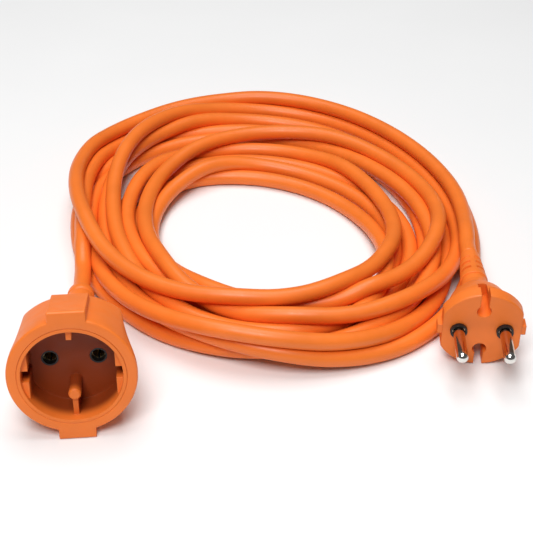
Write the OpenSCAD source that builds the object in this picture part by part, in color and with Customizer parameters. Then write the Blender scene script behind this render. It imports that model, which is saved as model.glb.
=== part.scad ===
// Two-pole extension cord, 5 m long, wound into a loose round coil.
// A round socket with a deep recess is on one end and a flat-sided contour plug on the other.
// The socket stands on its lower lug, mouth towards -Y, and tips back on it by a few degrees.
// Depths on the socket and the plug are counted backwards from their front faces.

/* [Cord] */
// Outer diameter of the sheath
cord_d = 7.4; // [7:0.1:7.6]
// Outer diameter of one insulated core
core_d = 2.6; // [2.4:0.1:2.7]
// Diameter of the copper strand bundle in a core
strand_d = 1.4; // [1.2:0.1:1.5]

/* [Coil] */
// Radius of the coil's rounded front and back
coil_r = 102; // [98:1:102]
// How far the back of the coil is drawn out past a circle
coil_drawn = 18; // [16:1:20]
// Radius of the open middle of the coil
coil_hole_r = 53; // [50:1:56]
// Height of the pile of turns
coil_h = 20; // [18:1:24]

/* [Socket] */
// Outer radius of the front ring
ring_r = 25.2; // [24.8:0.2:26]
// Radius of the seam between the cup and the body
cup_r = 21; // [20.8:0.1:21.4]
// Radius of the recess
recess_r = 19.6; // [19.4:0.1:20]
// Depth of the recess
recess_depth = 15.3; // [15:0.1:15.6]
// Half distance between the flats inside the recess
recess_flat = 16.7; // [16.5:0.1:17]
// Reach of the top and bottom lugs from the axis
lug_r = 28.5; // [28:0.1:29]
// Angle that the socket tips back at
socket_tilt = 11; // [9:1:12]

/* [Plug] */
// Radius of the plug's disc
disc_r = 18.5; // [18.3:0.1:18.8]
// Half width over the disc's flats
disc_flat = 16.2; // [16:0.1:16.5]
// Thickness of the disc
disc_t = 6; // [5.6:0.1:6.4]
// Diameter of a contact pin
pin_d = 4.8; // [4.7:0.05:4.85]
// Length of a contact pin in front of the face
pin_len = 19; // [18.5:0.1:19.5]

/* [Contacts] */
// Distance between the two poles
pole_pitch = 19; // [18.8:0.1:19.2]
// Bore of a contact sleeve
sleeve_bore_d = 4.86; // [4.86:0.01:4.9]

/* [Hidden] */
$fn = 64;

gap = 0.04;            // moulded pieces part by this much
eps = 0.1;             // overshoot of every cut
hull_fn = 40;          // facets of a blended shell
live = -1;             // the live pole is on the left, seen from the front
neutral = 1;
pole_x = pole_pitch / 2;

orange = [0.95, 0.43, 0.15];
black = [0.08, 0.08, 0.08];
brass = [0.72, 0.60, 0.30];
nickel = [0.75, 0.74, 0.72];
copper = [0.80, 0.45, 0.28];
core_brown = [0.36, 0.20, 0.12];
core_blue = [0.15, 0.35, 0.70];

// Depths inside the socket
carrier_front = 16.5;
sleeve_front = 18.5;
sleeve_back = 34.5;
carrier_back = 36.5;
cover_back = 38;
crimp_back = 40;
shell_mid = 26;        // the round ring has become a rounded square here
shell_knee = 42;
shell_back = 52;
socket_sheath = 48;    // the sheath is stripped back to here
socket_back = 70;

// Depths inside the plug
bridge_front = 1.5;
bridge_back = 10;
collar_len = 1.4;
plug_crimp_back = 15;
neck_back = 32;
plug_sheath = 24;
plug_back = 51;

// Sections of the socket's shell and its lugs
mid_w = 39;
mid_h = 43.8;
mid_curve = 28;         // radius of the shell's arched top and bottom
mid_edge = 1.5;
knee_w = 27;
knee_h = 25;
shell_corner = 8;
tail_r = 7.8;
lug_len = 23.5;
lug_w = 14.6;
lug_root = 15;
edge_r = 0.8;          // rounding of the ring's front edge

// Inside of the recess
mouth_len = 2;         // the flats start this far behind the mouth
groove_w = 5;
hole_r = 3.4;          // holes in the recess floor, filled by the carrier's collars
entry_r = 2.8;         // way in through a collar
post_y = -10;
post_r = 2.5;
post_len = 12.3;
post_tip_r = 1.9;
rib_w = 2.1;
rib_len = 11.3;
top_rib_h = 4.4;

// Contacts, carriers and the room behind them
sleeve_r = 3.1;
carrier_r = 4.3;
crimp_r = 1.8;
slit_w = 0.8;
slit_len = 9;
room_h = 5.4;          // thickness of the hollow where the cores spread

// Strain reliefs
relief_bore_r = cord_d / 2 + gap;
relief_tip_r = 4.6;
relief_slot_r = 4.15;    // bottom of the slots in the plug's relief
spine_w = 1.8;         // what is left between the slots of the two sides
flange_len = 2;
socket_flange = 46;    // the captive flange starts here
socket_flange_r = 7.2;
socket_barrel_r = 6.2;
plug_flange = 24.5;
plug_flange_r = 5.3;
plug_flange_len = 1.5;
plug_stem_r = 4.6;
plug_barrel_r = 6;

// Disc and grip of the plug
earth_r = 2.95;
earth_y = 10;
earth_len = 14;
earth_slot_w = 3.6;
bevel = 0.5;           // bevel on the disc's rim
collar_r = 3.5;
bridge_r = 4.2;
side_lug_x = 16.6;
side_lug_w = 3.2;
side_lug_h = 4.4;

// The socket stands on its tapered lug, centred over the origin with its sheath's end.
socket_y = -(socket_back * cos(socket_tilt) + (relief_tip_r - lug_r) * sin(socket_tilt)) / 2;
socket_z = lug_r * cos(socket_tilt);
socket_exit = [0, socket_y + socket_back * cos(socket_tilt), socket_z - socket_back * sin(socket_tilt)];

// The plug lies on the rim of its disc, to the right of the socket.
plug_pos = [166, -8, disc_r];
plug_turn = -7;
plug_rear = [-sin(plug_turn), cos(plug_turn), 0];
plug_exit = plug_pos + plug_back * plug_rear;

coil_pos = [90, 90];    // centre of the rounded front; the back's is coil_drawn further along Y
coil_hole_pos = [84, 82];
lead_w = 9;            // half width of the room left in the coil for a lead
lead_y = 52;
plug_room_z = 11;
plug_room_y = 40;

// Free stretches of cord, from each strain relief to the coil.
socket_route = [socket_exit, [0, 44, 13.2], [0, 48, 12.6], [0, 52, 12.6]];
plug_reach = plug_exit + 13 * plug_rear;
plug_route = [
    plug_exit,
    plug_exit + 5 * plug_rear - [0, 0, 0.4],
    plug_exit + 9 * plug_rear - [0, 0, 1],
    plug_reach - [0, 0, 1]
];

function unit(v) = v / norm(v);
function tangent(path, i) =
    unit(path[min(i + 1, len(path) - 1)] - path[max(i - 1, 0)]);

// A round tube through the points of a path, one ring of corners at each point.
// facing is any direction that the path never runs along.
module swept_tube(path, r, sides, facing) {
    rings = len(path);
    corners = [
        for (i = [0:rings - 1])
            let (t = tangent(path, i), side = unit(cross(facing, t)), rise = cross(t, side))
                for (j = [0:sides - 1])
                    path[i] + r * (cos(360 * j / sides) * side + sin(360 * j / sides) * rise)
    ];
    walls = [
        for (i = [0:rings - 2], j = [0:sides - 1])
            let (a = i * sides + j, b = i * sides + (j + 1) % sides)
                each [[a, a + sides, b + sides], [a, b + sides, b]]
    ];
    front = [for (j = [0:sides - 1]) j];
    back = [for (j = [sides - 1:-1:0]) (rings - 1) * sides + j];
    polyhedron(corners, concat([front, back], walls));
}

// Places a child, drawn with its front face up at z = 0, where the socket lies.
module at_socket() {
    translate([0, socket_y, socket_z]) rotate([90 - socket_tilt, 0, 0]) children();
}

// Places a child, drawn with its front face up at z = 0, where the plug lies.
module at_plug() {
    translate(plug_pos) rotate([90, 0, plug_turn]) children();
}

// A cylinder between two depths behind a front face.
module rod(r, front, back, x = 0, y = 0) {
    translate([x, y, -back]) cylinder(r = r, h = back - front);
}

// A bar with round ends that spans both poles.
module pole_bar(r, front, back) {
    for (x = [-pole_x, pole_x]) rod(r, front, back, x);
    translate([-pole_x, -r, -back]) cube([pole_pitch, 2 * r, back - front]);
}

// A thin rounded rectangle, the section of a blended shell.
module shell_section(w, h, corner, depth) {
    translate([0, 0, -depth]) linear_extrude(0.5)
        offset(r = corner, $fn = hull_fn) square([w - 2 * corner, h - 2 * corner], center = true);
}

// Section of the shell's widest part, with flat sides and an arched top and bottom.
module arched_section(w, h, curve, edge, depth) {
    translate([0, 0, -depth]) linear_extrude(0.5) offset(r = edge, $fn = hull_fn) intersection() {
        square([w - 2 * edge, h], center = true);
        translate([0, h / 2 - curve]) circle(r = curve - edge, $fn = 3 * hull_fn);
        translate([0, curve - h / 2]) circle(r = curve - edge, $fn = 3 * hull_fn);
    }
}

// The hollow behind the contacts where the two cores spread apart.
module core_room(front, shoulder, back, half_w, throat) {
    rotate([90, 0, 0]) translate([0, 0, -room_h / 2]) linear_extrude(room_h) polygon([
        [-half_w, -front], [half_w, -front], [half_w, -shoulder],
        [throat, -back], [-throat, -back], [-half_w, -shoulder]
    ]);
}

// The way that one core takes from its crimp to the middle of the sheath.
function core_way(pole, crimp, sheath, back, over = 0) = [
    [pole * pole_x, 0, over - crimp],
    [pole * pole_x * 0.97, 0, -crimp - (sheath - crimp) * 0.2],
    [pole * (pole_x * 0.55 + 0.6), 0, -crimp - (sheath - crimp) * 0.55],
    [pole * (core_d / 2 + 0.8), 0, -crimp - (sheath - crimp) * 0.85],
    [pole * (core_d / 2 + 0.1), 0, -sheath],
    [pole * (core_d / 2 + 0.1), 0, -sheath - 2],
    [pole * (core_d / 2 + 0.1), 0, -back - over]
];

// One insulated core, hollow for its strands.
module core(pole, crimp, sheath, back) {
    difference() {
        swept_tube(core_way(pole, crimp, sheath, back), core_d / 2, 12, [0, 1, 0]);
        swept_tube(core_way(pole, crimp, sheath, back, eps), strand_d / 2 + gap, 10, [0, 1, 0]);
    }
}

// The bare strands of one core, from inside its crimp to the end of the stripped stretch.
module strands(pole, crimp, sheath, back) {
    way = core_way(pole, crimp, sheath, back);
    swept_tube(concat([[pole * pole_x, 0, 3 - crimp]], way), strand_d / 2, 10, [0, 1, 0]);
}

// The stripped end of the sheath, with a channel for each core.
module sheath_end(front, back) {
    difference() {
        rod(cord_d / 2, front, back);
        for (pole = [live, neutral])
            rod(core_d / 2 + gap, front - eps, back + eps, pole * (core_d / 2 + 0.1));
    }
}

// Moulded outer body: a round ring that blends into a tapering rounded square, with two lugs.
module socket_body() {
    color(orange) at_socket() difference() {
        union() {
            rotate_extrude() polygon([
                [cup_r - 2, 0], [ring_r - edge_r, 0], [ring_r - edge_r / 4, -edge_r / 4],
                [ring_r, -edge_r], [ring_r, -5], [cup_r - 2, -5]
            ]);
            hull() {
                translate([0, 0, -4]) linear_extrude(0.5) circle(r = ring_r - 0.3, $fn = hull_fn);
                arched_section(mid_w, mid_h, mid_curve, mid_edge, shell_mid);
            }
            hull() {
                arched_section(mid_w, mid_h, mid_curve, mid_edge, shell_mid);
                shell_section(knee_w, knee_h, shell_corner, shell_knee);
            }
            hull() {
                shell_section(knee_w, knee_h, shell_corner, shell_knee);
                translate([0, 0, -shell_back]) linear_extrude(0.5) circle(r = tail_r, $fn = hull_fn);
            }
            for (turn = [0, 180]) rotate([0, 0, turn]) socket_lug();
        }
        rod(cup_r + gap, -eps, carrier_front);
        pole_bar(carrier_r + gap, carrier_front - eps, cover_back);
        core_room(cover_back - eps, crimp_back + 0.5, socket_flange, 12, 3.6);
        rod(socket_flange_r + gap, socket_flange - eps, socket_flange + flange_len);
        rod(socket_barrel_r + gap, socket_flange, shell_back + eps);
    }
}

// One lug, a tapering block on the rim. The lower one is the foot that the socket stands on.
module socket_lug() {
    rotate([90, 0, 90]) translate([0, 0, -lug_w / 2]) linear_extrude(lug_w) polygon([
        [ring_r - 3, 0], [lug_r, 0],
        [lug_r - lug_len * tan(socket_tilt), -lug_len], [lug_root, -lug_len]
    ]);
}

// Insert with the plug recess: flats with a guide groove, a blind post and two ribs.
module socket_cup() {
    color(orange) at_socket() {
        difference() {
            rod(cup_r, 0, carrier_front);
            intersection() {
                rod(recess_r, -eps, recess_depth);
                translate([-recess_flat, -recess_r, -recess_depth])
                    cube([2 * recess_flat, 2 * recess_r, recess_depth + eps]);
            }
            rod(recess_r, -eps, mouth_len);
            intersection() {
                rod(recess_r, -eps, recess_depth);
                translate([-recess_r, -groove_w / 2, -recess_depth])
                    cube([2 * recess_r, groove_w, recess_depth + eps]);
            }
            for (pole = [live, neutral])
                rod(hole_r + gap, recess_depth - eps, carrier_front + eps, pole * pole_x);
        }
        translate([0, post_y, -recess_depth]) {
            cylinder(r = post_r, h = post_len - edge_r);
            translate([0, 0, post_len - edge_r]) cylinder(r1 = post_r, r2 = post_tip_r, h = edge_r);
        }
        translate([-rib_w / 2, -recess_r - 0.4, -recess_depth])
            cube([rib_w, recess_r + post_y - post_r + 0.5, rib_len]);
        translate([-rib_w / 2, recess_r - top_rib_h, -recess_depth])
            cube([rib_w, top_rib_h + 0.4, recess_depth - mouth_len]);
    }
}

// Block that holds both contacts behind the recess.
module socket_contact_carrier() {
    color(black) at_socket() difference() {
        union() {
            pole_bar(carrier_r, carrier_front, carrier_back);
            for (pole = [live, neutral]) rod(hole_r, recess_depth, carrier_front + eps, pole * pole_x);
        }
        for (pole = [live, neutral]) {
            rod(entry_r, recess_depth - eps, carrier_back, pole * pole_x);
            rod(sleeve_r + gap, sleeve_front, carrier_back + eps, pole * pole_x);
        }
    }
}

// Plate that closes the back of the carrier.
module socket_carrier_cover() {
    color(black) at_socket() difference() {
        pole_bar(carrier_r, carrier_back, cover_back);
        for (pole = [live, neutral])
            rod(crimp_r + gap, carrier_back - eps, cover_back + eps, pole * pole_x);
    }
}

// Sprung brass sleeve, slit from its mouth, with a crimp barrel at its back.
module socket_contact(pole) {
    color(brass) at_socket() difference() {
        union() {
            rod(sleeve_r, sleeve_front, carrier_back, pole * pole_x);
            rod(crimp_r, carrier_back - 1, crimp_back, pole * pole_x);
        }
        rod(sleeve_bore_d / 2, sleeve_front - eps, sleeve_back, pole * pole_x);
        rod(strand_d / 2 + gap, carrier_back, crimp_back + eps, pole * pole_x);
        translate([pole * pole_x - slit_w / 2, -sleeve_r - 1, -sleeve_front - slit_len])
            cube([slit_w, 2 * sleeve_r + 2, slit_len + eps]);
    }
}

// Strain relief behind the socket: a captive flange, a long barrel, one ring groove, a domed end.
module socket_strain_relief() {
    color(orange) at_socket() rotate_extrude() polygon([
        [relief_bore_r, -socket_flange], [socket_flange_r, -socket_flange],
        [socket_flange_r, -socket_flange - flange_len], [socket_barrel_r, -socket_flange - flange_len],
        [socket_barrel_r, -shell_back], [6.0, -58],
        [5.9, -63.2], [5.2, -63.5], [5.2, -64.4], [5.8, -64.7], [5.8, -66.5], [5.7, -68.2],
        [5.3, -69.4], [relief_tip_r, -socket_back], [relief_bore_r, -socket_back]
    ]);
}

// Disc, side lugs and grip of the plug, with the two holes for an earth pin.
module plug_body() {
    color(orange) at_plug() difference() {
        union() {
            difference() {
                rotate_extrude() polygon([
                    [0, 0], [disc_r - bevel, 0], [disc_r, -bevel], [disc_r, bevel - disc_t],
                    [disc_r - bevel, -disc_t], [0, -disc_t]
                ]);
                for (side = [-1, 1])
                    translate([side * (disc_flat + 5) - 5, -20, -disc_t - eps])
                        cube([10, 40, disc_t + 2 * eps]);
            }
            for (side = [-1, 1])
                translate([side * side_lug_x - side_lug_w / 2, -side_lug_h / 2, 0.3 - disc_t])
                    cube([side_lug_w, side_lug_h, disc_t - 0.8]);
            rotate_extrude() polygon([
                [0, -5], [15.5, -5], [15.3, -8], [14.5, -12], [12, -18], [9.4, -21.7],
                [7, -25], [5.9, -28.5], [5.5, -neck_back], [0, -neck_back]
            ]);
        }
        for (turn = [0, 180]) rotate([0, 0, turn]) earth_hole();
        for (pole = [live, neutral]) rod(collar_r + gap, -eps, bridge_front + eps, pole * pole_x);
        pole_bar(bridge_r + gap, bridge_front, bridge_back);
        core_room(bridge_back - eps, plug_crimp_back + 0.5, plug_flange, 11.4, 3.2);
        rod(plug_flange_r + gap, plug_flange - eps, plug_flange + plug_flange_len);
        rod(plug_stem_r + gap, plug_flange, neck_back + eps);
    }
}

// Hole for the earth pin of a socket, open to the rim through a slot.
module earth_hole() {
    rod(earth_r, -eps, earth_len, 0, earth_y);
    translate([-earth_slot_w / 2, earth_y, -earth_len]) cube([earth_slot_w, 12, earth_len + eps]);
}

// Block that carries both pins, with a collar around each at the face.
module plug_pin_bridge() {
    color(black) at_plug() difference() {
        union() {
            pole_bar(bridge_r, bridge_front, bridge_back);
            for (pole = [live, neutral]) rod(collar_r, -collar_len, bridge_front + eps, pole * pole_x);
        }
        for (pole = [live, neutral])
            rod(pin_d / 2 + 0.3 + gap, -collar_len - eps, bridge_back + eps, pole * pole_x);
    }
}

// Nickel-plated pin: round tip, free length, root in the bridge, crimp barrel.
module plug_pin(pole) {
    r = pin_d / 2;
    tip = 1.8;
    color(nickel) at_plug() translate([pole * pole_x, 0, 0]) difference() {
        rotate_extrude() polygon(concat(
            [[0, -plug_crimp_back], [1.6, -plug_crimp_back], [1.6, -bridge_back],
             [r + 0.3, -bridge_back], [r + 0.3, collar_len], [r, collar_len]],
            [for (a = [0:15:90]) [r - tip + tip * cos(a), pin_len - tip + tip * sin(a)]],
            [[0, pin_len]]
        ));
        rod(strand_d / 2 + gap, bridge_back + 1, plug_crimp_back + eps);
    }
}

// Strain relief behind the plug: a captive flange, a tapering barrel, three slots on each side.
module plug_strain_relief() {
    color(orange) at_plug() difference() {
        rotate_extrude() polygon([
            [relief_bore_r, -plug_flange], [plug_flange_r, -plug_flange],
            [plug_flange_r, -plug_flange - plug_flange_len],
            [plug_stem_r, -plug_flange - plug_flange_len],
            [plug_stem_r, -neck_back], [plug_barrel_r, -neck_back], [5, -43.5], [4.3, -50.2],
            [4.1, -plug_back], [relief_bore_r, -plug_back]
        ]);
        for (depth = [36, 40, 44]) translate([0, 0, -depth - 1.6]) difference() {
            cylinder(r = plug_barrel_r + 1, h = 1.6);
            translate([0, 0, -eps]) cylinder(r = relief_slot_r, h = 1.6 + 2 * eps);
            translate([-spine_w / 2, -plug_barrel_r - 1, -eps])
                cube([spine_w, 2 * plug_barrel_r + 2, 1.6 + 2 * eps]);
        }
    }
}

// The pile of turns as one oval ring, cut back where the plug's relief and both leads lie.
module cord_coil() {
    color(orange) difference() {
        translate([coil_pos[0], coil_pos[1], 0]) union() {
            for (y = [0, coil_drawn]) translate([0, y, 0]) cylinder(r = coil_r, h = coil_h, $fn = 128);
            translate([-coil_r, 0, 0]) cube([2 * coil_r, coil_drawn, coil_h]);
        }
        translate([coil_hole_pos[0], coil_hole_pos[1], -eps])
            cylinder(r = coil_hole_r, h = coil_h + 2 * eps, $fn = 128);
        translate([-lead_w, 0, -eps]) cube([2 * lead_w, lead_y, coil_h + 2 * eps]);
        translate([plug_reach[0], plug_reach[1], plug_room_z]) rotate([0, 0, plug_turn])
            translate([-lead_w, -plug_room_y, 0]) cube([3 * lead_w, plug_room_y, coil_h]);
    }
}

// The free stretch behind the socket.
module cord_socket_lead() {
    color(orange) swept_tube(socket_route, cord_d / 2, 12, [0, 0, 1]);
}

// The free stretch behind the plug.
module cord_plug_lead() {
    color(orange) swept_tube(plug_route, cord_d / 2, 12, [0, 0, 1]);
}

socket_body();
socket_cup();
socket_contact_carrier();
socket_carrier_cover();
socket_contact(live);  // socket_contact_live
socket_contact(neutral);  // socket_contact_neutral
socket_strain_relief();
color(orange) at_socket() sheath_end(socket_sheath, socket_back);  // socket_sheath_end
color(core_brown) at_socket() core(live, crimp_back, socket_sheath, socket_back);  // socket_core_brown
color(core_blue) at_socket() core(neutral, crimp_back, socket_sheath, socket_back);  // socket_core_blue
color(copper) at_socket() strands(live, crimp_back, socket_sheath, socket_back);  // socket_strands_brown
color(copper) at_socket() strands(neutral, crimp_back, socket_sheath, socket_back);  // socket_strands_blue
plug_body();
plug_pin_bridge();
plug_pin(live);  // plug_pin_live
plug_pin(neutral);  // plug_pin_neutral
plug_strain_relief();
color(orange) at_plug() sheath_end(plug_sheath, plug_back);  // plug_sheath_end
color(core_brown) at_plug() core(live, plug_crimp_back, plug_sheath, plug_back);  // plug_core_brown
color(core_blue) at_plug() core(neutral, plug_crimp_back, plug_sheath, plug_back);  // plug_core_blue
color(copper) at_plug() strands(live, plug_crimp_back, plug_sheath, plug_back);  // plug_strands_brown
color(copper) at_plug() strands(neutral, plug_crimp_back, plug_sheath, plug_back);  // plug_strands_blue
cord_coil();
cord_socket_lead();
cord_plug_lead();
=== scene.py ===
"""Two-pole extension cord: a recessed socket, about 5 m of orange flex in a coil, and a contour plug."""

import bpy
import numpy as np
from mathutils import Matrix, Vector


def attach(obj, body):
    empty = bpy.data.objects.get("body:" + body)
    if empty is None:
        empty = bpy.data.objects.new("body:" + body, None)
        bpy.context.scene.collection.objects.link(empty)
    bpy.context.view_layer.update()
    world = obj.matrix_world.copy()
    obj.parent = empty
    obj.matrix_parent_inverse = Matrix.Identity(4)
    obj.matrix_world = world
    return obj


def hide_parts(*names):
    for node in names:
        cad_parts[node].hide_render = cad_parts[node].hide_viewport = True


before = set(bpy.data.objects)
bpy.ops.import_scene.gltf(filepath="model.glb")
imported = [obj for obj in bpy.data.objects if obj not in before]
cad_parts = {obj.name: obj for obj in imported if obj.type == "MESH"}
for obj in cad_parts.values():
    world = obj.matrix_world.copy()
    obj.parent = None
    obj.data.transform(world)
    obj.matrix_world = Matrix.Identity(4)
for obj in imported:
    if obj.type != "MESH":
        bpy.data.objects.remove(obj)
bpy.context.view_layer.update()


# ---------------------------------------------------------------- camera
# Looks down on the coil from the front, over the mouth of the socket and the pins of the plug.
camera_data = bpy.data.cameras.new("camera")
camera_data.lens = 81.05
camera_data.sensor_width = 36
camera_data.clip_start, camera_data.clip_end = 0.05, 20
camera = bpy.data.objects.new("camera", camera_data)
bpy.context.scene.collection.objects.link(camera)
camera.location = (0.0446, -0.3756, 0.3409)
aim = Vector((0.0834, 0.0670, 0.0)) - camera.location
camera.rotation_mode = "QUATERNION"
camera.rotation_quaternion = aim.to_track_quat("-Z", "Y")
bpy.context.scene.camera = camera


# ---------------------------------------------------------------- flex
# Two-core PVC flex, 7.4 mm thick and about 5 m long, wound by hand and laid down flat.
# It leaves the socket low, runs under the pile, and comes off the top of it to the plug.
MM = 0.001
FLEX_R = 3.7


def between_knots(knots, t):
    """Catmull-Rom curve through evenly spaced knots, read at t in knot counts, ends held."""
    knots = np.asarray(knots, float)
    last = len(knots) - 1
    at = np.clip(np.floor(t).astype(int), 0, last - 1)
    f = t - at
    before, a, b, after = (knots[np.clip(at + step, 0, last)] for step in (-1, 0, 1, 2))
    if knots.ndim > 1:
        f = f[:, None]
    bend = 2 * before - 5 * a + 4 * b - after + f * (3 * (a - b) + after - before)
    return a + 0.5 * f * (b - before + f * bend)


def evenly(points, count):
    """The same line with its points spread evenly along its length."""
    run = np.r_[0, np.cumsum(np.linalg.norm(np.diff(points, axis=0), axis=1))]
    want = np.linspace(0, run[-1], count)
    return np.stack([np.interp(want, run, points[:, k]) for k in range(3)], axis=1)


def blurred(values, spread):
    """Gaussian average along the line, spread in points, ends repeated."""
    reach = int(3 * spread) + 1
    weight = np.exp(-0.5 * (np.arange(-reach, reach + 1) / spread) ** 2)
    weight /= weight.sum()
    padded = np.pad(values, ((reach, reach), (0, 0)), mode="edge")
    return np.stack([np.convolve(c, weight, "valid") for c in padded.T], axis=1)


# One row a turn, clockwise from above: distance from the middle (mm) and layer at left, back, right, front.
TURNS = [
    ((84, 0.6), (129, 0), (99, 0), (89, 0)),
    ((77, 0.9), (111, 0), (86.5, 0), (90, 0.5)),
    ((85, 0), (94, 0), (79, 0), (84, 0)),
    ((87.3, 0), (101, 0), (78, 0), (81, 0)),
    ((73, 0), (70.5, 0), (70.5, 0), (69, 0)),
    ((66, 0), (55, 0), (55.7, 0), (79, 0.9)),
    ((71.4, 1.8), (121, 0.3), (92, 1), (73.5, 1)),
    ((59.5, 1.2), (88, 0.7), (82.5, 1.1), (60, 1.1)),
    ((57.7, 0.3), (63, 0.1), (63, 0.2), (62, 0)),
    ((67.5, 0.9), (80, 0.2), (62.3, 1.4), (67, 1.9)),
    ((87.3, 2), (125, 1), (96.5, 1.7)),
]
# Outer and inner edge of the pile, every eighth of a turn from the left.
PILE_OUTER = [91, 120, 132.7, 112, 103.3, 103.3, 95, 88]
PILE_INNER = [54, 58, 51, 48, 52, 54, 53, 51]
PILE_MIDDLE = np.array([84.7539, 82.9309])
PILE_TURN = np.radians(-5)

stops = [stop for turn in TURNS for stop in turn]
quarter = np.linspace(0, len(stops) - 1, (len(stops) - 1) * 36 + 1)
ring = np.arange(-8, 2 * len(stops) + 8)
outer = between_knots(np.take(PILE_OUTER, ring % 8), 2 * quarter + 8)
inner = between_knots(np.take(PILE_INNER, ring % 8), 2 * quarter + 8)
outer_stop, inner_stop = outer[::36], inner[::36]
share = (np.array([r for r, _ in stops]) - inner_stop - FLEX_R) / (outer_stop - inner_stop - 2 * FLEX_R)
share = np.clip(between_knots(share, quarter), -0.03, 1.03)
layer = np.clip(between_knots([h for _, h in stops], quarter), 0, None)
away = inner + FLEX_R + share * (outer - inner - 2 * FLEX_R)
angle = np.pi - quarter * np.pi / 2 + PILE_TURN
turns = np.stack([
    PILE_MIDDLE[0] + away * np.cos(angle),
    PILE_MIDDLE[1] + away * np.sin(angle),
    layer,
], axis=1)

# The free stretches at the two strain reliefs, as the CAD has them.
socket_end = np.array([[0, 36.637, 14.620], [0, 44, 13.2], [0, 48, 12.6], [0, 52, 12.6]])
plug_rear = np.array([np.sin(np.radians(7)), np.cos(np.radians(7)), 0])
plug_exit = np.array([172.2153, 42.6199, 18.5])
plug_sag = np.array([[0, 0, 1], [0, 0, 1], [0, 0, 0.4], [0, 0, 0]])
plug_end = plug_exit + np.array([13, 9, 5, 0])[:, None] * plug_rear - plug_sag
route = np.vstack([
    socket_end,
    [0.1, 64, 8.5],
    np.column_stack([turns[6:-5, :2], FLEX_R + 9 * turns[6:-5, 2]]),
    plug_end,
])
count = int(round(np.linalg.norm(np.diff(route, axis=0), axis=1).sum() / 3.6)) + 1
route = evenly(route, count)
route[4:-4] = blurred(route, 5.5)[4:-4]
wish = (route[:, 2] - FLEX_R) / 9
from_end = np.minimum(np.arange(count), np.arange(count)[::-1])
held = from_end < 8


def pile_heights(plan, wish, ends):
    """Heights of the line's points for a given plan.
    Where two stretches lie within a diameter of each other in plan, the one with the higher
    wished layer over that whole crossing rests on the other; each stretch bends stiffly."""
    thick = 2 * FLEX_R
    apart = ((plan[:, None] - plan[None]) ** 2).sum(-1)
    one, two = np.where(apart < thick**2)
    clear = two > one + 6
    one, two = one[clear], two[clear]
    rise = np.sqrt(thick**2 - apart[one, two])
    crossing = {}
    for pair, place in enumerate(zip(one // 5, two // 5)):
        crossing.setdefault(place, []).append(pair)
    label, seen, crossings = np.zeros(len(one), int), set(), 0
    for start in crossing:
        if start in seen:
            continue
        stack = [start]
        seen.add(start)
        while stack:
            p, q = stack.pop()
            label[crossing[(p, q)]] = crossings
            near = {(p + a, q + b) for a in (-1, 0, 1) for b in (-1, 0, 1)} & crossing.keys()
            stack.extend(sorted(near - seen))
            seen |= near
        crossings += 1
    weight = rise**2 + 1e-3
    over = np.bincount(label, (wish[two] - wish[one]) * weight, crossings)
    over = over / np.bincount(label, weight, crossings)
    two_over = over[label] + 0.02 >= 0
    top, under = np.where(two_over, two, one), np.where(two_over, one, two)
    z = np.where(held, ends, FLEX_R + 6.4 * wish)
    for _ in range(500):
        z -= 0.05
        short = rise - (z[top] - z[under])
        touching = short > 0
        lift, press = np.zeros(len(z)), np.zeros(len(z))
        np.maximum.at(lift, top[touching], short[touching])
        np.maximum.at(press, under[touching], short[touching])
        z = np.maximum(z + 0.5 * lift - 0.25 * press * (z > FLEX_R + 0.1), FLEX_R)
        z = 0.7 * z + 0.3 * blurred(z[:, None], 4)[:, 0]
        z = np.where(held, ends, np.maximum(z, FLEX_R))
    return z


def eased_apart(line, solids, rounds):
    """The line after turns that press into each other, the floor or a solid have given way.
    Each round moves touching points half of their overlap apart, spread along the stiff flex."""
    thick, home = 2 * FLEX_R, line.copy()
    grip = np.clip((from_end - 7) / 12, 0, 1)[:, None]
    for step in range(rounds):
        if step % 6 == 0:
            spot = line.astype(np.float32)
            one, two = np.where(((spot[:, None] - spot[None]) ** 2).sum(-1) < (thick + 3) ** 2)
            clear = two > one + 6
            one, two = one[clear], two[clear]
        move = np.zeros_like(line)
        move[:, 2] -= 0.03
        across = line[two] - line[one]
        gap = np.linalg.norm(across, axis=1)
        touch = gap < thick
        a, b = one[touch], two[touch]
        push = 0.5 * ((thick - gap) / np.maximum(gap, 1e-6))[touch, None] * across[touch]
        crowd = np.maximum(np.bincount(a, minlength=count) + np.bincount(b, minlength=count), 1) ** 0.7
        for k in range(3):
            shove = np.bincount(b, push[:, k], count) - np.bincount(a, push[:, k], count)
            move[:, k] += 1.5 * shove / crowd
        for tail, head, r_tail, r_head in solids:
            axis = head - tail
            t = np.clip((line - tail) @ axis / (axis @ axis), 0, 1)[:, None]
            off = line - tail - t * axis
            dist = np.linalg.norm(off, axis=1, keepdims=True)
            room = FLEX_R + r_tail + (r_head - r_tail) * t
            move += np.where((dist < room) & (from_end[:, None] >= 14), off / dist * (room - dist), 0)
        move[:, 2] += np.maximum(0, FLEX_R - (line[:, 2] + move[:, 2]))
        line = line + (0.3 * move + 0.7 * blurred(move, 3)) * grip
        shift = line - home
        line = home + 0.93 * shift + 0.07 * blurred(shift, 5)
        line[:, 2] = np.maximum(line[:, 2], FLEX_R)
    return line


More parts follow.
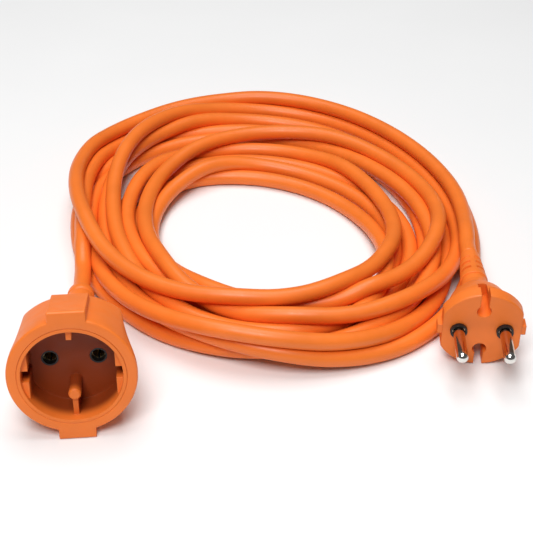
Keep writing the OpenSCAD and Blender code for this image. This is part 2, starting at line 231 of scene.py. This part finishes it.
# The plug and the socket as stubby cones that no turn may enter.
plug_face = np.array([166.0, -8, 18.5])
socket_rear = np.array([0, np.cos(np.radians(11)), -np.sin(np.radians(11))])
socket_face = np.array([0, -32.0768, 27.9764])
solids = [
    (plug_face, plug_face + 6 * plug_rear, 18.5, 18.5),
    (plug_face + 6 * plug_rear, plug_face + 18 * plug_rear, 15.5, 12.0),
    (plug_face + 18 * plug_rear, plug_face + 26 * plug_rear, 12.0, 6.9),
    (plug_face + 26 * plug_rear, plug_face + 49 * plug_rear, 6.2, 5.3),
    (socket_face, socket_face + 26 * socket_rear, 25, 21.5),
    (socket_face + 26 * socket_rear, socket_face + 42 * socket_rear, 21, 13.5),
    (socket_face + 42 * socket_rear, socket_face + 66 * socket_rear, 13.5, 5.9),
]
route[:, 2] = pile_heights(route[:, :2], wish, route[:, 2])
route = eased_apart(route, solids, 120)
line = np.where(from_end[:, None] >= 6, blurred(route, 1.2), route)
line = evenly(line, 2040) * MM


def skin(name, grid, around=True, along=False, uv=None):
    """Mesh piece from a grid of points, rows along the piece and columns around it.
    around joins the last column to the first; along joins the last row to the first, and
    where it doesn't, each end is closed with a fan. Faces turn outwards by the sign of the volume."""
    rows, cols = grid.shape[:2]
    points = grid.reshape(-1, 3)
    down = np.arange(rows if along else rows - 1)
    i, j = np.meshgrid(down, np.arange(cols if around else cols - 1), indexing="ij")
    k, m = (j + 1) % cols, (i + 1) % rows
    quads = np.stack([i * cols + j, i * cols + k, m * cols + k, m * cols + j], axis=-1).reshape(-1, 4)
    faces = [quads]
    if around and not along:
        points = np.vstack([points, grid[0].mean(0), grid[-1].mean(0)])
        c, first, last, end = np.arange(cols), rows * cols, rows * cols + 1, (rows - 1) * cols
        faces.append(np.stack([np.roll(c, -1), c, np.full(cols, first)], axis=-1))
        faces.append(np.stack([end + c, end + np.roll(c, -1), np.full(cols, last)], axis=-1))
    corner = points - points.mean(0)
    volume = sum(
        (corner[f[:, 0]] * np.cross(corner[f[:, n]], corner[f[:, n + 1]])).sum()
        for f in faces for n in range(1, f.shape[1] - 1)
    )
    if around and volume < 0:
        faces = [f[:, ::-1] for f in faces]
    mesh = bpy.data.meshes.new(name)
    mesh.from_pydata(points.tolist(), [], [face for part in faces for face in part.tolist()])
    mesh.shade_smooth()
    if uv is not None:
        index = np.empty(len(mesh.loops), int)
        mesh.loops.foreach_get("vertex_index", index)
        row, col = np.divmod(np.minimum(index, rows * cols - 1), cols)
        face_of = np.repeat(np.arange(len(mesh.polygons)), [f.shape[1] for f in faces for _ in f])
        seam = np.isin(face_of, np.flatnonzero(j.reshape(-1) == cols - 1)) & (col == 0)
        place = np.stack([(col + cols * seam) / cols, uv[row]], axis=1)
        mesh.uv_layers.new(name="along").data.foreach_set("uv", place.reshape(-1))
    piece = bpy.data.objects.new(name, mesh)
    bpy.context.scene.collection.objects.link(piece)
    return piece


def tube_grid(path, radius, sides):
    """Rings of points round a path that never runs upright: radius times the level side and the rise."""
    tangent = np.gradient(path, axis=0)
    tangent /= np.linalg.norm(tangent, axis=1, keepdims=True)
    side = np.cross([0, 0, 1], tangent)
    side /= np.linalg.norm(side, axis=1, keepdims=True)
    rise = np.cross(tangent, side)
    turn = 2 * np.pi * np.arange(sides) / sides
    radius = np.broadcast_to(radius, len(path))[:, None, None]
    cos, sin = np.cos(turn)[:, None], np.sin(turn)[:, None]
    return path[:, None] + radius * (cos * side[:, None] + sin * rise[:, None])


run = np.r_[0, np.cumsum(np.linalg.norm(np.diff(line, axis=0), axis=1))]
flex = skin("flex", tube_grid(line, FLEX_R * MM, 24), uv=run)


def shader_group(name, inputs, outputs):
    """An empty shader node group with its named sockets; gives the tree, its input and its output node."""
    tree = bpy.data.node_groups.new(name, "ShaderNodeTree")
    for label, kind, value in inputs:
        socket = tree.interface.new_socket(name=label, in_out="INPUT", socket_type=kind)
        socket.default_value = value
    for label, kind in outputs:
        tree.interface.new_socket(name=label, in_out="OUTPUT", socket_type=kind)
    return tree, tree.nodes.new("NodeGroupInput"), tree.nodes.new("NodeGroupOutput")


def add(tree, kind, values=None, **settings):
    """A node of that kind with its settings, and its inputs set or linked from values."""
    made = tree.nodes.new(kind)
    for key, value in settings.items():
        setattr(made, key, value)
    for key, value in (values or {}).items():
        if isinstance(value, bpy.types.NodeSocket):
            tree.links.new(value, made.inputs[key])
        else:
            made.inputs[key].default_value = value
    return made


# Moulded PVC skin: cloudy pigment, spark-eroded grain, and a finish that varies from satin to matt.
pvc_skin, given, result = shader_group(
    "pvc_skin",
    [
        ("Colour", "NodeSocketColor", (1, 1, 1, 1)), ("Grain", "NodeSocketFloat", 2600.0),
        ("Depth", "NodeSocketFloat", 0.00002), ("Gloss", "NodeSocketFloat", 0.4),
        ("Relief", "NodeSocketFloat", 0.0),
    ],
    [("Colour", "NodeSocketColor"), ("Roughness", "NodeSocketFloat"), ("Height", "NodeSocketFloat")],
)
where = add(pvc_skin, "ShaderNodeTexCoord").outputs["Object"]
cloud = add(pvc_skin, "ShaderNodeTexNoise", {"Vector": where, "Scale": 60.0, "Detail": 3.0})
tone = add(pvc_skin, "ShaderNodeMapRange", {
    "Value": cloud.outputs["Fac"], "From Min": 0.3, "From Max": 0.7, "To Min": 0.94, "To Max": 1.05,
})
shaded = add(pvc_skin, "ShaderNodeHueSaturation", {
    "Color": given.outputs["Colour"], "Value": tone.outputs["Result"],
})
pores = add(pvc_skin, "ShaderNodeTexNoise", {
    "Vector": where, "Scale": given.outputs["Grain"], "Detail": 2.0,
})
smear = add(pvc_skin, "ShaderNodeTexNoise", {"Vector": where, "Scale": 240.0, "Detail": 4.0})
spread = add(pvc_skin, "ShaderNodeMapRange", {
    "Value": smear.outputs["Fac"], "From Min": 0.3, "From Max": 0.7, "To Min": -0.05, "To Max": 0.07,
})
satin = add(pvc_skin, "ShaderNodeMath", {
    0: given.outputs["Gloss"], 1: spread.outputs["Result"],
}, operation="ADD")
grain = add(pvc_skin, "ShaderNodeMath", {
    0: pores.outputs["Fac"], 1: given.outputs["Depth"],
}, operation="MULTIPLY")
height = add(pvc_skin, "ShaderNodeMath", {0: grain.outputs[0], 1: given.outputs["Relief"]}, operation="ADD")
pvc_skin.links.new(shaded.outputs["Color"], result.inputs["Colour"])
pvc_skin.links.new(satin.outputs[0], result.inputs["Roughness"])
pvc_skin.links.new(height.outputs[0], result.inputs["Height"])


def moulded(name, colour, gloss, grain, depth, relief=None, edge=0.0):
    """Material for a moulded or extruded piece: the PVC skin in one colour, or in the colour
    that a function adds to the tree.
    edge is the radius that its corners catch the light with, where the mesh has them sharp."""
    material = bpy.data.materials.new(name)
    material.use_nodes = True
    tree = material.node_tree
    shader = tree.nodes["Principled BSDF"]
    shader.inputs["Specular IOR Level"].default_value = 0.4
    pigment = colour(tree) if callable(colour) else (*colour, 1)
    values = {"Colour": pigment, "Grain": grain, "Depth": depth, "Gloss": gloss}
    if relief is not None:
        values["Relief"] = relief(tree)
    made = add(tree, "ShaderNodeGroup", None, node_tree=pvc_skin)
    for key, value in values.items():
        if isinstance(value, bpy.types.NodeSocket):
            tree.links.new(value, made.inputs[key])
        else:
            made.inputs[key].default_value = value
    tree.links.new(made.outputs["Colour"], shader.inputs["Base Color"])
    tree.links.new(made.outputs["Roughness"], shader.inputs["Roughness"])
    bump = add(tree, "ShaderNodeBump", {"Height": made.outputs["Height"], "Distance": 1.0, "Strength": 1.0})
    if edge:
        soft = add(tree, "ShaderNodeBevel", {"Radius": edge}, samples=6)
        tree.links.new(soft.outputs["Normal"], bump.inputs["Normal"])
    tree.links.new(bump.outputs["Normal"], shader.inputs["Normal"])
    return material


def two_tones(near, far, normal, origin, start, end):
    """Function that adds a colour to a tree: near blended into far over a distance, measured in
    metres from an origin along a normal."""
    def blend(tree):
        place = add(tree, "ShaderNodeTexCoord")
        along = add(tree, "ShaderNodeVectorMath", {
            0: place.outputs["Object"], 1: tuple(normal),
        }, operation="DOT_PRODUCT")
        zero = float(np.dot(normal, origin))
        share = add(tree, "ShaderNodeMapRange", {
            "Value": along.outputs["Value"], "From Min": zero + start, "From Max": zero + end,
        }, interpolation_type="SMOOTHSTEP")
        return add(tree, "ShaderNodeMix", {
            0: share.outputs["Result"], 6: (*near, 1), 7: (*far, 1),
        }, data_type="RGBA").outputs[2]
    return blend


def raised_marks(tree):
    """Height of the plain raised dashes along the flex: a short dash every few millimetres,
    in runs a hand long, on one narrow line of the sheath."""
    uv = add(tree, "ShaderNodeUVMap", uv_map="along")
    split = add(tree, "ShaderNodeSeparateXYZ", {0: uv.outputs["UV"]})

    def product(one, other):
        return add(tree, "ShaderNodeMath", {0: one, 1: other}, operation="MULTIPLY").outputs[0]

    def window(value, period, low, high):
        phase = add(tree, "ShaderNodeMath", {0: product(value, 1 / period)}, operation="FRACT")
        opened = add(tree, "ShaderNodeMath", {0: phase.outputs[0], 1: low}, operation="GREATER_THAN")
        closed = add(tree, "ShaderNodeMath", {0: phase.outputs[0], 1: high}, operation="LESS_THAN")
        return product(opened.outputs[0], closed.outputs[0])

    dash = window(split.outputs["Y"], 0.0042, 0.2, 0.72)
    stretch = window(split.outputs["Y"], 0.25, 0.1, 0.42)
    line_on = window(split.outputs["X"], 1.0, 0.255, 0.32)
    return product(product(product(dash, stretch), line_on), 0.00007)


ORANGE = (0.88, 0.195, 0.024)
flex.data.materials.append(moulded("flex_pvc", ORANGE, 0.38, 1800.0, 0.000012, raised_marks))
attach(flex, "root")
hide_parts("cord_coil", "cord_socket_lead", "cord_plug_lead")


# ---------------------------------------------------------------- floor and light
# A pale square floor under two soft boxes, a broad one above and one over the front. Its far edges
# show in low views.
# The room looks nearly white but gives little light, so that the creases stay dark.
plane = np.array([[[-1.2, -1.2, 0], [1.4, -1.2, 0]], [[-1.2, 1.4, 0], [1.4, 1.4, 0]]], float)
floor = skin("floor", plane, around=False)
paper = bpy.data.materials.new("paper")
paper.use_nodes = True
fleck = add(paper.node_tree, "ShaderNodeTexNoise", {"Scale": 40.0})
pale = add(paper.node_tree, "ShaderNodeMapRange", {
    "Value": fleck.outputs["Fac"], "To Min": 0.86, "To Max": 0.89,
})
matt = paper.node_tree.nodes["Principled BSDF"]
paper.node_tree.links.new(pale.outputs["Result"], matt.inputs["Base Color"])
matt.inputs["Roughness"].default_value = 0.9
matt.inputs["Specular IOR Level"].default_value = 0.1
floor.data.materials.append(paper)

world = bpy.data.worlds.new("studio")
world.use_nodes = True
background = world.node_tree.nodes["Background"]
background.inputs["Color"].default_value = (1, 1, 1, 1)
seen = add(world.node_tree, "ShaderNodeLightPath")
glow = add(world.node_tree, "ShaderNodeMapRange", {
    "Value": seen.outputs["Is Camera Ray"], "To Min": 0.10, "To Max": 0.9,
})
world.node_tree.links.new(glow.outputs["Result"], background.inputs["Strength"])
bpy.context.scene.world = world


def soft_box(name, place, target, size, power):
    """A square area light of that size at a place, turned to its target."""
    data = bpy.data.lights.new(name, "AREA")
    data.size, data.energy = size, power
    box = bpy.data.objects.new(name, data)
    bpy.context.scene.collection.objects.link(box)
    box.location = place
    box.rotation_mode = "QUATERNION"
    box.rotation_quaternion = (Vector(target) - Vector(place)).to_track_quat("-Z", "Y")


soft_box("overhead", (0.05, 0.28, 1.3), (0.08, 0.08, 0), 0.85, 10.8)
soft_box("front", (-0.10, -0.46, 0.92), (0.07, 0.03, 0), 0.45, 7.2)
bpy.context.scene.view_settings.view_transform = "Standard"
bpy.context.scene.view_settings.look = "None"


# ---------------------------------------------------------------- socket housing
# Soft orange PVC moulded in one shot round the inner parts: a round ring that goes over into flat
# sides with an arched top and bottom, then a rounded square and the round neck. A lug stands above
# and below; the socket stands on the lower one and leans back on it.
orange_body = moulded("body_pvc", ORANGE, 0.45, 2600.0, 0.00002)


def corner_max(a, b, soft):
    """The larger of two shapes, with the corner where they cross filled over that width."""
    return np.maximum(a, b) + np.clip(soft - np.abs(a - b), 0, None) ** 2 / (4 * soft)


def corner_min(a, b, soft):
    """The smaller of two shapes, with the corner where they cross rounded over that width."""
    return -corner_max(-a, -b, soft)


def rounded_square(turn, width, height, corner):
    """Distance from the middle to the edge of a rounded rectangle, in the direction of turn."""
    cos, sin = np.abs(np.cos(turn)) + 1e-9, np.abs(np.sin(turn)) + 1e-9
    mx, my = width / 2 - corner, height / 2 - corner
    lean = mx * cos + my * sin
    at_corner = lean + np.sqrt(np.clip(lean**2 - (mx**2 + my**2 - corner**2), 0, None))
    flat_x, flat_y = width / 2 / cos, height / 2 / sin
    edge = np.where(flat_x * sin <= my, flat_x, at_corner)
    return np.where((flat_y * cos <= mx) & (flat_x * sin > my), flat_y, edge)


def arched(turn, width, height, curve):
    """Distance from the middle to the edge of a section with flat sides and an arched top and
    bottom, each an arc of that radius through the top or bottom of the section."""
    cos, sin = np.abs(np.cos(turn)) + 1e-9, np.abs(np.sin(turn)) + 1e-9
    drop = curve - height / 2
    return corner_min(np.sqrt(curve**2 - (drop * cos) ** 2) - drop * sin, width / 2 / cos, 1.2)


def at_socket(x, y, depth):
    """Points of the leaning socket in metres: x to the right, y up its face, depth behind its face."""
    lean = np.radians(79)
    x, y, depth = np.broadcast_arrays(x, y, depth)
    return np.stack([
        x, socket_face[1] + y * np.cos(lean) + depth * np.sin(lean),
        socket_face[2] + y * np.sin(lean) - depth * np.cos(lean),
    ], axis=-1) * MM


round_socket = 2 * np.pi * np.arange(720) / 720


def shell_reach(depth):
    """Distance from the axis to the housing's outside: sections blended over the depth, their
    kinks eased, joined to the two lugs, whose tops slope so that the lower one lies flat."""
    sections = np.stack([
        np.full(720, 25.2), np.full(720, 25.1), arched(round_socket, 39, 43.8, 28),
        rounded_square(round_socket, 27, 25, 8), np.full(720, 7.8), np.full(720, 7.8),
    ])
    stations = np.array([-5.0, 4, 26, 42, 52, 60])
    near = depth[:, None] + np.array([-1.4, -0.7, 0, 0.7, 1.4])
    at = np.clip(np.searchsorted(stations, near) - 1, 0, 4)
    f = (near - stations[at]) / (stations[at + 1] - stations[at])
    shell = (sections[at] * (1 - f[..., None]) + sections[at + 1] * f[..., None]).mean(1)
    back_edge = np.clip(depth - 22.5, 0, 1)[:, None]
    top = 28.5 - depth[:, None] * np.tan(np.radians(11)) - 1 + np.sqrt(1 - back_edge**2)
    cos, sin = np.abs(np.cos(round_socket)) + 1e-6, np.abs(np.sin(round_socket)) + 1e-6
    lug = np.where(depth[:, None] <= 23.5, corner_min(top / sin, 7.3 / cos, 0.9), 0)
    return corner_max(shell, lug, 0.6)


# Depths of the rows of the outside, closer together where the lugs end and the section turns.
wall = np.r_[
    0.9, 1.6, 2.6, 4, 6, 8.5, 11, 13.5, 16, 18.5, 20.5, 21.8, 22.5, 22.8, 23.05, 23.25, 23.4, 23.47,
    23.5, 23.51, 24, 24.7, 25.3, 26, 26.7, 27.4, 28.5, 31, 34, 37, 39.5, 40.8, 41.4, 42, 42.6, 43.2,
    44.5, 47, 49.5, 51, 51.5,
]
reach = shell_reach(wall)
rim = np.radians(np.arange(0, 90, 15))
face_share = np.array([0.0, 0.3, 0.7])
rim_r = 0.9
mouth_r = 21.4
front_reach = np.vstack([
    mouth_r + face_share[:, None] * (reach[:1] - rim_r - mouth_r),
    reach[:1] - rim_r + rim_r * np.sin(rim)[:, None],
])
front_depth = np.r_[0, 0, 0, rim_r - rim_r * np.cos(rim)]
tail = np.radians([20, 45, 70, 90])
tail_reach = 7.3 + 0.5 * np.cos(tail)
tail_depth = 51.5 + 0.5 * np.sin(tail)
across, up = np.abs(np.cos(round_socket)) + 1e-6, np.abs(np.sin(round_socket)) + 1e-6
inside = np.array([
    [6.24, 52], [6.24, 48.2], [7.24, 48], [7.24, 46], [0, 45.98], [0, 40.5], [0, 38.07], [14, 38.05],
    [14, 16.8], [21.04, 16.6], [21.04, 8], [21.04, 0.4], [21.08, 0.2], [21.2, 0.06],
])
inside_reach = np.repeat(inside[:, :1], 720, 1)
# The hollow where the cores spread apart is 5.4 mm high and narrows towards the relief.
for row, half_width in ((4, 3.6), (5, 12), (6, 12)):
    inside_reach[row] = np.minimum(half_width / across, 2.7 / up)
housing_reach = np.vstack([
    front_reach, reach, np.repeat(tail_reach[:, None], 720, 1), inside_reach,
])
housing_depth = np.r_[front_depth, wall, tail_depth, inside[:, 1]][:, None]
housing = skin(
    "socket_housing",
    at_socket(housing_reach * np.cos(round_socket), housing_reach * np.sin(round_socket), housing_depth),
    along=True,
)
housing.data.set_sharp_from_angle(angle=np.radians(50))
housing.data.materials.append(orange_body)
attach(housing, "root")
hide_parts("socket_body")


# ---------------------------------------------------------------- strain reliefs
# Soft PVC sleeves that the flex comes out through, each held by a flange inside the moulding. The
# socket's is a barrel with one ring groove and a domed end; the plug's tapers, and three slots
# across each side let it bend.
def turned_profile(outline, soft, count):
    """A profile of radius and depth with its corners eased: even steps, then a Gaussian average."""
    spots = evenly(np.column_stack([outline, np.zeros(len(outline))]), count)
    return blurred(spots, soft)[:, :2]


barrel = turned_profile(np.array([
    [6.2, 49], [6.15, 54], [6.0, 58], [5.9, 63.1], [5.1, 63.3], [5.1, 64.3], [5.85, 64.5], [5.85, 66.6],
    [5.6, 68.4], [5.2, 69.4], [4.5, 70.0], [3.74, 70.0],
]), 1.3, 96)
barrel = np.vstack([[[7.2, 46], [7.2, 48], [6.2, 48.02]], barrel, [[3.74, 69], [3.74, 46]]])
round_relief = 2 * np.pi * np.arange(144) / 144
socket_relief = skin(
    "socket_relief",
    at_socket(barrel[:, :1] * np.cos(round_relief), barrel[:, :1] * np.sin(round_relief), barrel[:, 1:]),
    along=True,
)
socket_relief.data.materials.append(orange_body)
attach(socket_relief, "root")
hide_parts("socket_strain_relief")


def at_plug(x, y, depth):
    """Points of the plug in metres: x to the right, y up, depth behind its face."""
    side = np.array([np.cos(np.radians(7)), -np.sin(np.radians(7)), 0])
    x, y, depth = (np.asarray(v)[..., None] for v in np.broadcast_arrays(x, y, depth))
    return (plug_face + x * side + y * np.array([0, 0, 1]) + depth * plug_rear) * MM


sleeve_outline = np.array([
    [24.5, 5.3], [26, 5.3], [26.02, 4.6], [31.96, 4.6], [32.02, 5.7], [32.3, 6.0], [43.5, 5.0],
    [50.2, 4.3], [50.7, 4.2], [51, 4.0],
])
sleeve_depth = np.r_[
    24.5, 26, 26.02, 31.96, 32.02, np.arange(32.2, 50.3, 0.12), 50.5, 50.7, 50.85, 50.95, 51,
]
sleeve_reach = np.interp(sleeve_depth, *sleeve_outline.T)
slot_centre = np.array([36.8, 40.8, 44.8])
in_slot = np.clip((0.95 - np.abs(sleeve_depth[:, None] - slot_centre).min(1)) / 0.3, 0, 1)[:, None]
slot_floor = 4.15
spine = np.clip((1.25 / (np.abs(np.cos(round_relief)) + 1e-6) - 4.5) / 0.8, 0, 1)
cut = corner_min(sleeve_reach[:, None], slot_floor + (sleeve_reach[:, None] - slot_floor) * spine, 0.1)
sleeve = sleeve_reach[:, None] * (1 - in_slot) + cut * in_slot
sleeve = np.vstack([sleeve, np.full((3, 144), 3.74)])
sleeve_depth = np.r_[sleeve_depth, 51, 40, 24.5][:, None]
plug_relief = skin(
    "plug_relief",
    at_plug(sleeve * np.cos(round_relief), sleeve * np.sin(round_relief), sleeve_depth),
    along=True,
)
plug_relief.data.materials.append(orange_body)
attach(plug_relief, "root")
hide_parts("plug_strain_relief")


# ---------------------------------------------------------------- recess insert, plug body and sheath ends
# Orange PVC mouldings with crisp corners, which catch the light on a small rounding. The recess is
# one colour on the real piece; here it darkens with depth, which stands for the shade in it.
def finished(material, *names):
    """Gives one finish to every slot of the named CAD pieces."""
    for name in names:
        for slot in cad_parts[name].material_slots:
            slot.material = material


orange_edged = moulded("cut_body_pvc", ORANGE, 0.45, 2600.0, 0.00002, edge=0.0006)
recess_colour = two_tones(ORANGE, (0.28, 0.042, 0.004), socket_rear, socket_face * MM, 0.002, 0.0085)
recess_pvc = moulded("recess_pvc", recess_colour, 0.55, 2600.0, 0.00002, edge=0.0005)
finished(orange_edged, "plug_body", "plug_sheath_end", "socket_sheath_end")
finished(recess_pvc, "socket_cup")


# ---------------------------------------------------------------- black mouldings
# Black plastic that stands heat: the block and cover round the socket's contacts, and the
# bridge that both pins are pressed into. All that shows is the holes' walls and the pins' collars.
black_insert = moulded("black_insert", (0.012, 0.012, 0.013), 0.4, 2200.0, 0.00002)
finished(black_insert, "socket_contact_carrier", "socket_carrier_cover", "plug_pin_bridge")


# ---------------------------------------------------------------- cores
# The two cores inside the flex, brown for live and blue for neutral, each an extruded PVC sleeve.
# They are crimped at the contacts and pins, and come together in the sheath.
brown_pvc = moulded("core_brown_pvc", (0.09, 0.03, 0.012), 0.4, 2000.0, 0.00001)
blue_pvc = moulded("core_blue_pvc", (0.02, 0.09, 0.42), 0.4, 2000.0, 0.00001)
finished(brown_pvc, "socket_core_brown", "plug_core_brown")
finished(blue_pvc, "socket_core_blue", "plug_core_blue")


# ---------------------------------------------------------------- contacts and strands
# The socket's contacts are rolled from sprung brass strip, and the strands are bare copper.
# Fine drawn streaks and a little tarnish run over both.
drawn_metal, given, result = shader_group(
    "drawn_metal",
    [("Colour", "NodeSocketColor", (1, 1, 1, 1)), ("Polish", "NodeSocketFloat", 0.2)],
    [("Colour", "NodeSocketColor"), ("Roughness", "NodeSocketFloat"), ("Normal", "NodeSocketVector")],
)
where = add(drawn_metal, "ShaderNodeTexCoord").outputs["Object"]
stretched = add(drawn_metal, "ShaderNodeMapping", {"Vector": where, "Scale": (1.0, 0.06, 1.0)})
streak = add(drawn_metal, "ShaderNodeTexNoise", {
    "Vector": stretched.outputs["Vector"], "Scale": 3500.0, "Detail": 2.0,
})
dull = add(drawn_metal, "ShaderNodeMapRange", {
    "Value": streak.outputs["Fac"], "From Min": 0.3, "From Max": 0.7, "To Min": -0.04, "To Max": 0.06,
})
polish = add(drawn_metal, "ShaderNodeMath", {
    0: given.outputs["Polish"], 1: dull.outputs["Result"],
}, operation="ADD")
tarnish = add(drawn_metal, "ShaderNodeTexNoise", {"Vector": where, "Scale": 500.0, "Detail": 3.0})
tint = add(drawn_metal, "ShaderNodeMapRange", {
    "Value": tarnish.outputs["Fac"], "To Min": 0.88, "To Max": 1.06,
})
worn = add(drawn_metal, "ShaderNodeHueSaturation", {
    "Color": given.outputs["Colour"], "Value": tint.outputs["Result"],
})
scratch = add(drawn_metal, "ShaderNodeBump", {
    "Height": streak.outputs["Fac"], "Distance": 0.000004, "Strength": 0.6,
})
drawn_metal.links.new(worn.outputs["Color"], result.inputs["Colour"])
drawn_metal.links.new(polish.outputs[0], result.inputs["Roughness"])
drawn_metal.links.new(scratch.outputs["Normal"], result.inputs["Normal"])


def metal(name, colour, polish):
    """Material for a metal piece: the drawn surface in one colour, or in the colour that a
    function adds to the tree."""
    material = bpy.data.materials.new(name)
    material.use_nodes = True
    tree = material.node_tree
    shader = tree.nodes["Principled BSDF"]
    shader.inputs["Metallic"].default_value = 1.0
    made = add(tree, "ShaderNodeGroup", None, node_tree=drawn_metal)
    if callable(colour):
        tree.links.new(colour(tree), made.inputs["Colour"])
    else:
        made.inputs["Colour"].default_value = (*colour, 1)
    made.inputs["Polish"].default_value = polish
    tree.links.new(made.outputs["Colour"], shader.inputs["Base Color"])
    tree.links.new(made.outputs["Roughness"], shader.inputs["Roughness"])
    tree.links.new(made.outputs["Normal"], shader.inputs["Normal"])
    return material


brass = metal("sprung_brass", (0.72, 0.55, 0.28), 0.3)
copper = metal("bare_copper", (0.85, 0.42, 0.25), 0.3)
finished(brass, "socket_contact_live", "socket_contact_neutral")
finished(copper, "socket_strands_brown", "socket_strands_blue", "plug_strands_brown", "plug_strands_blue")


# ---------------------------------------------------------------- plug pins
# Turned brass pins plated with nickel, 4.8 mm thick with round tips, pressed into the black bridge.
# Behind it each has a bored end for its strands. The warmer colour of the shafts stands for the
# orange that they reflect; the real plating is one colour.
nickel_colour = two_tones(
    (0.80, 0.78, 0.74), (0.66, 0.44, 0.32), plug_rear, plug_face * MM, -0.0165, -0.0150,
)
nickel = metal("nickel_plate", nickel_colour, 0.14)
pin_r = 2.4
pin_pitch = 19
tip = np.radians(np.arange(0, 91, 10))
shaft = np.vstack([
    [[0.05, 11], [0.74, 11], [0.74, 15], [1.6, 15], [1.6, 10.02], [2.7, 10], [2.7, -0.7]],
    [[pin_r, -0.75], [pin_r, -1], [pin_r, -9], [pin_r, -16.4]],
    np.column_stack([pin_r * np.cos(tip), -16.9 - 2.1 * np.sin(tip)])[:-1],
    [[0.2, -18.99]],
])
round_pin = 2 * np.pi * np.arange(64) / 64
for pole, name in ((-1, "live"), (1, "neutral")):
    across_face = pole * pin_pitch / 2 + shaft[:, :1] * np.cos(round_pin)
    pin = skin(f"pin_{name}", at_plug(across_face, shaft[:, :1] * np.sin(round_pin), shaft[:, 1:]))
    pin.data.set_sharp_from_angle(angle=np.radians(50))
    pin.data.materials.append(nickel)
    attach(pin, "root")
    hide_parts(f"plug_pin_{name}")
